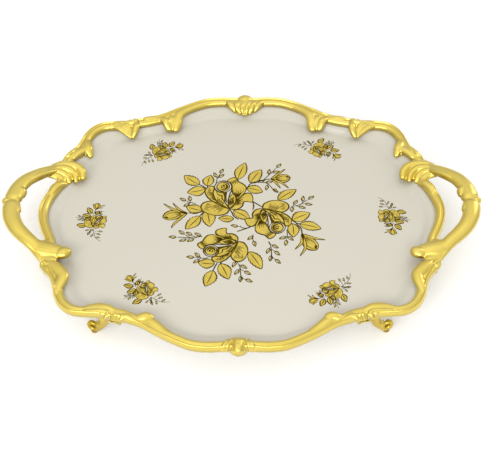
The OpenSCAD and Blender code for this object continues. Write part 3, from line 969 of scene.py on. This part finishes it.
        self.shape(at([(-0.02, 0), (0.08, 0.12), (0.24, 0.2), (0.4, 0.42), (0.64, 0.52),
                       (0.86, 0.44), (1.0, 0.16), (0.97, -0.1), (0.86, -0.36), (0.64, -0.52),
                       (0.4, -0.44), (0.24, -0.2), (0.08, -0.12)]), BUD_LEVEL, 0.6 if small else 1.2)
        self.curve(at([(0.26, -0.06), (0.5, -0.26), (0.76, -0.22), (0.95, 0.06)]), 0.9, BUD_LEVEL)
        self.curve(at([(0.26, 0.06), (0.46, 0.26), (0.7, 0.32), (0.92, 0.2)]), 0.8, BUD_LEVEL)
        mouth = closed_spline(at([(0.97, 0.1), (0.86, 0.34), (0.78, 0.3), (0.84, 0.1)]), 4)
        if not small:
            self.fill(mouth, BUD_LEVEL + 1, "dark")
            self.hatch(at([(0.24, 0.12), (0.24, -0.12)]), at([(0.66, 0.4), (0.66, -0.42)]), 7, 0.5,
                       BUD_LEVEL, reach=0.6)
        for middle, end in sepals:
            self.sepal(base, middle, end, 0.2 * width, BUD_LEVEL + 1, 0.4 if small else 0.8)

    def rose(self, x, y, degrees, scale):
        """Half open rose. Its own axis runs up from the stem at (0, 0) to the heart."""
        pen = self.sub(x, y, degrees - 90, scale)
        small = pen.scale < 0.6
        thick = 1.3 / max(pen.scale, 0.8)
        for level, outline in ROSE_PETALS:
            pen.shape(outline, level, thick)
        pen.rose_heart(thick)
        pen.rose_folds(thick)
        for start, end, count, reach in ROSE_HATCHES:
            pen.hatch(start, end, 3 if small else count, 0.5 * thick, ROSE_TOP, reach)

    def rose_heart(self, thick):
        """Rolled inner petals, drawn as rings that lie inside each other."""

        def ring(radius, start, end, count):
            a = np.radians(np.linspace(start, end, count))
            return ROSE_HEART + np.column_stack([np.cos(a), np.sin(a)]) * radius

        self.fill(ring(6.9, 0, 350, 28), ROSE_TOP)
        self.line(ring(8.9, 0, 350, 40) * (1.06, 1), thick, ROSE_TOP, closed=True)
        self.line(ring(6.9, 0, 350, 32), thick, ROSE_TOP, closed=True)
        self.line(ring(4.4, -150, 80, 28), thick * 2, ROSE_TOP, taper=0.1)
        self.line(ring(2, 0, 340, 18), thick * 0.8, ROSE_TOP, closed=True)
        self.line(ROSE_HEART + np.array([(0.6, 3.6), (0.8, 1.2), (0.2, -0.6)]), thick, ROSE_TOP)

    def rose_folds(self, thick):
        """Edges of the folds below the heart, the dark gap between them, and the stem's creases."""
        self.curve([(8.9, 31), (7.6, 26), (5.0, 21.4), (1.9, 14), (0.2, 6)], thick, ROSE_TOP)
        self.curve([(-7.8, 31), (-8.4, 25.5), (-6.9, 22.4), (-3.9, 20.8), (-4.6, 16.6),
                    (-3.2, 12.5), (-2.6, 8.5), (-1.2, 3.5)], thick * 1.1, ROSE_TOP)
        for outline in ROSE_GAPS:
            self.fill(closed_spline(outline, 4), ROSE_TOP, "dark")

    def posy(self, x, y, degrees):
        """Small spray: a rose, a bud, leaves and a trailing sprig."""
        pen = self.sub(x, y, degrees, 1.0)
        pen.leaf((-6.5, 10), (-3.4, 19.4), 5.6, teeth=3)
        pen.leaf((6, 4.6), (10.4, 12.6), 5.6, teeth=3)
        pen.leaf((10.6, 3), (19.4, 7.4), 5.4, teeth=3)
        pen.leaf((4, 5), (3, 11), 4.4, teeth=3)
        pen.leaf((8, -1), (12.6, -4.4), 4.0, teeth=3)
        pen.rose(-9, 2.8, -30, 0.4)
        pen.curve([(8, 2), (12, 0), (16, -1)], 0.7, 1, taper=0.6)
        pen.bud((15.4, -1.2), (24.4, -3.6), 6.4,
                [((17, -4), (16.6, -8.6)), ((19, -6), (20, -11.4)), ((19, 0.6), (24.6, 1.4))])
        pen.sprig([(-12, 2.6), (-17, 2.4), (-23, 1.4), (-27, -0.4), (-31, -4.2)],
                  [(-16.6, 7.2), (-21.4, 4.6), (-14, 4.8), (-25, -1.8), (-20.6, -2.6),
                   (-17, -4.8)], 4.2, 2.0, 0.5)
        pen.sprig([(-12, 5), (-15, 6.6), (-17.6, 6.2)], [(-13, 9.4), (-18.6, 8)], 3.6, 1.8, 0.5)
        pen.sprig([(2, 9), (4.2, 13.6), (7.8, 20.6)],
                  [(1.8, 12.8), (6.6, 13.2), (3.6, 16.8), (8.6, 16.4)], 3.8, 2.0, 0.5)
        pen.sprig([(7.6, -2), (9, -5), (11.6, -9.6)], [(7.6, -6.4), (11.2, -6)], 3.4, 1.8, 0.5)

    def mesh(self, name, ink, material):
        """Object with all the shapes of one ink."""
        bm = bmesh.new()
        for points, faces, level in self.shapes[ink]:
            z = WELL_Z + LIFT + LAYER * level
            verts = [bm.verts.new((x * MM, y * MM, z * MM)) for x, y in points]
            for face in faces:
                if len(set(face)) > 2:
                    bm.faces.new([verts[i] for i in face])
        bmesh.ops.triangulate(bm, faces=bm.faces[:])
        for f in bm.faces:
            if f.normal.z < 0:
                f.normal_flip()
        mesh = bpy.data.meshes.new(name)
        bm.to_mesh(mesh)
        bm.free()
        obj = bpy.data.objects.new(name, mesh)
        SCENE.collection.objects.link(obj)
        mesh.materials.append(material)
        return obj


# Layout of the bouquet on the well, in millimetres from the centre.
# Leaves: (base, tip, width).
LEAVES = [
    ((-48, 47), (-65, 61), 13), ((-39, 45), (-36, 61.5), 12), ((-41, 40), (-60, 35), 14),
    ((-6, 55), (2, 81), 12.5), ((8, 50), (20, 70), 13), ((4.5, 42), (21.5, 35.5), 12),
    ((38, 24), (58, 39), 12), ((53, -6), (72, 4), 14), ((61, -11.5), (83, -18.5), 12),
    ((53, -11), (54, -30), 12), ((-43, 8), (-60, 14), 12.5), ((-45, 0), (-59, -18.5), 12.5),
    ((-38, 8), (-34, -15), 14), ((-9, -4), (-25, -3), 9), ((-9, 8), (8, -5), 12),
    ((8, -50), (21, -73), 12.5), ((-27, -66), (-43.5, -64), 12), ((-21, -66), (-12, -86), 13),
    ((-28, -75), (-35, -95), 13),
]
# Sprigs: (stem, leaflets).
SPRIGS = [
    ([(-30, 46), (-29, 53), (-28, 59)], [(-31, 62), (-24, 68), (-24, 60.5)]),
    ([(21, 52.5), (27, 60), (33, 68)], [(28.5, 67), (36.5, 66.5), (39.5, 76.5)]),
    ([(8, 50), (22, 50), (28, 47), (34, 38), (40, 35)],
     [(29, 51), (26, 42), (35.5, 37.5), (20, 52)]),
    ([(53, 14), (61, 16), (67, 22)], [(57, 20), (65, 25.5), (74, 27), (71, 17), (64, 12.5),
                                      (53, 9.5)]),
    ([(-50, 18), (-54, 19.5), (-58, 20)], [(-64.5, 24.5), (-57, 26), (-60, 16.5)]),
    ([(-41, -29), (-52, -30), (-66, -30)],
     [(-46, -26), (-55, -25), (-63, -23), (-72, -29.5), (-61, -34), (-53, -34)]),
    ([(-33, -58), (-38, -58.5), (-43, -58)], [(-45, -54), (-52, -57), (-45.5, -62.5)]),
    ([(-5, -62), (-1, -70), (0, -80), (1, -88)],
     [(-7, -67), (3, -70), (-4, -77), (7, -78), (0, -86), (8.5, -88)]),
    ([(30, -40), (31, -50), (31, -62)],
     [(35, -43), (27.5, -49), (37, -52), (30, -59), (37.5, -63)]),
    ([(47, -20), (47.5, -26), (47, -31)], [(42.5, -31), (46, -38), (51, -32)]),
    ([(12, -26), (11.5, -31), (12, -35)], [(9, -31), (13.5, -39)]),
    ([(8, -17), (1, -17), (-2, -14)], [(-8, -14)]),
]
# Buds: (base, tip, width, sepals).
BUDS = [
    ((31, 55.5), (51.5, 56.5), 12,
     [((37, 48), (41, 41)), ((43, 49), (50, 41)), ((40, 65), (46.5, 71))]),
    ((-59, 4), (-84, 0), 13,
     [((-68, 10), (-75, 19.5)), ((-74, 10), (-85, 18.5)), ((-70, -9), (-74, -17))]),
    ((63, -26), (76, -48), 14,
     [((62, -38), (55, -47)), ((66, -44), (60, -56)), ((74, -31), (87, -34))]),
]
STEMS = [
    [(-48, 47), (-43, 44), (-38, 39)], [(-39, 45), (-38, 41), (-37, 37)],
    [(4, 40), (8, 48), (14, 50), (24, 54.5), (33, 55.5)], [(10, 22), (15, 18), (21, 13)],
    [(-14, 11), (-11, 5), (-9, 0), (-4, -5)], [(-57, 4.5), (-48, 5), (-42, 7)],
    [(-45, 0), (-42, 5), (-40, 8)], [(52, -5), (57, -10), (62, -12)],
    [(57, -11), (62, -18), (63, -27)], [(28, -36), (30, -41)], [(-28, -75), (-26, -69), (-24, -65)],
    [(-21, -66), (-20, -64)], [(-5, -22), (4, -18), (10, -15)], [(11, 21), (12, 14), (11, 9)],
]
# Roses: (x, y, degrees, scale). Posies: (x, y, degrees).
ROSES = [(-14, 10.5, 103, 1.0), (22, 10.5, -61, 0.91), (-4, -36.5, 204, 0.87)]
POSIES = [(-91, 98.5, 37), (87, 101.5, -22), (-155, -5.5, 99), (156, -2.5, -79),
          (-96, -99, 143), (89, -102, -140)]


def build_prints():
    bouquet = Print()
    for stem in STEMS:
        bouquet.curve(stem, 1.5, 0, taper=0.7)
    for stem, leaflets in SPRIGS:
        bouquet.sprig(stem, leaflets)
    for base, tip, width in LEAVES:
        bouquet.leaf(base, tip, width)
    for base, tip, width, sepals in BUDS:
        bouquet.bud(base, tip, width, sepals)
    for x, y, degrees, scale in ROSES:
        bouquet.rose(x, y, degrees, scale)
    posies = Print()
    for x, y, degrees in POSIES:
        posies.posy(x, y, degrees)
    for name, drawing in (("bouquet", bouquet), ("posies", posies)):
        seated(drawing.mesh(name + "_gold", "gold", GOLD_PRINT), "gold_print")
        seated(drawing.mesh(name + "_lines", "dark", DARK_PRINT), "ink_print")


# ------------ hardware kept from the CAD

def finish_hardware():
    for name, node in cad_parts.items():
        if node.hide_render:
            continue
        material, slot = (RUBBER, "rubber") if name in ("gasket", "foot_pads") else (STEEL, "steel")
        node.data.materials.clear()
        node.data.materials.append(material)


# ------------ room, light and camera

FLOOR_HALF = 6000
# Grey of the studio around the object, from straight below (0) to straight above (1).
STUDIO_GREYS = [(0.0, 1.0), (0.04, 0.6), (0.25, 0.52), (0.62, 0.85), (1.0, 1.0)]
STUDIO_STRENGTH = 1.04


def build_room():
    corners = [(x * FLOOR_HALF, y * FLOOR_HALF, 0) for x, y in ((-1, -1), (1, -1), (1, 1), (-1, 1))]
    floor = mesh_object("floor", corners, [(0, 1, 2, 3)], floor_material())
    world = bpy.data.worlds.new("studio")
    SCENE.world = world
    world.use_nodes = True
    tree = world.node_tree
    coords = tree.nodes.new("ShaderNodeTexCoord")
    split = tree.nodes.new("ShaderNodeSeparateXYZ")
    ramp = tree.nodes.new("ShaderNodeValToRGB")
    set_stops(ramp, [(at, (grey, grey, grey * 0.98)) for at, grey in STUDIO_GREYS])
    tree.links.new(coords.outputs["Generated"], split.inputs[0])
    tree.links.new(split.outputs["Z"], ramp.inputs["Fac"])
    tree.links.new(ramp.outputs["Color"], tree.nodes["Background"].inputs["Color"])
    tree.nodes["Background"].inputs["Strength"].default_value = STUDIO_STRENGTH


def floor_material():
    n = Nodes("white_floor")
    n.colour(n.ramp(n.noise(3, 2), [(0.3, (0.90, 0.895, 0.885)), (0.7, (0.915, 0.91, 0.90))]))
    n.set(Roughness=0.9, Specular_IOR_Level=0.1, Emission_Color=(1, 0.995, 0.985, 1),
          Emission_Strength=0.14)
    return n.material


def softbox(name, place, aim, size, power):
    """Rectangular light; place, aim and size in metres, power in watts."""
    data = bpy.data.lights.new(name, "AREA")
    data.shape = "RECTANGLE"
    data.size, data.size_y = size
    data.energy = power
    light = bpy.data.objects.new(name, data)
    SCENE.collection.objects.link(light)
    light.location = place
    light.rotation_mode = "QUATERNION"
    light.rotation_quaternion = (Vector(aim) - Vector(place)).to_track_quat("-Z", "Y")


def build_lights():
    softbox("overhead", (-0.1, 0.15, 1.3), (0, 0, 0), (1.4, 0.8), 1)
    softbox("front", (-0.3, -1.3, 1.0), (0, 0, 0.03), (2.0, 0.5), 15)
    softbox("back_right", (1.2, 1.1, 0.8), (0, 0, 0), (0.5, 0.9), 3)


# The photo's camera, fitted to the rim; places in metres.
CAMERA_PLACE = Vector((0.0311, -0.6851, 0.7687))
CAMERA_AIM = Vector((0.0331, 0.0088, -0.002))
LENS_MM = 70.5
SENSOR_MM = 36
SHIFT_X = -0.0637


def build_camera():
    data = bpy.data.cameras.new("camera")
    data.lens = LENS_MM
    data.sensor_width = SENSOR_MM
    data.shift_x = SHIFT_X
    camera = bpy.data.objects.new("camera", data)
    SCENE.collection.objects.link(camera)
    camera.location = CAMERA_PLACE
    camera.rotation_mode = "QUATERNION"
    aim = CAMERA_AIM - CAMERA_PLACE
    camera.rotation_quaternion = aim.to_track_quat("-Z", "Y")
    SCENE.camera = camera


build_dish()
build_castings()
build_feet()
build_prints()
finish_hardware()
build_room()
build_lights()
build_camera()
SCENE.view_settings.view_transform = "Standard"
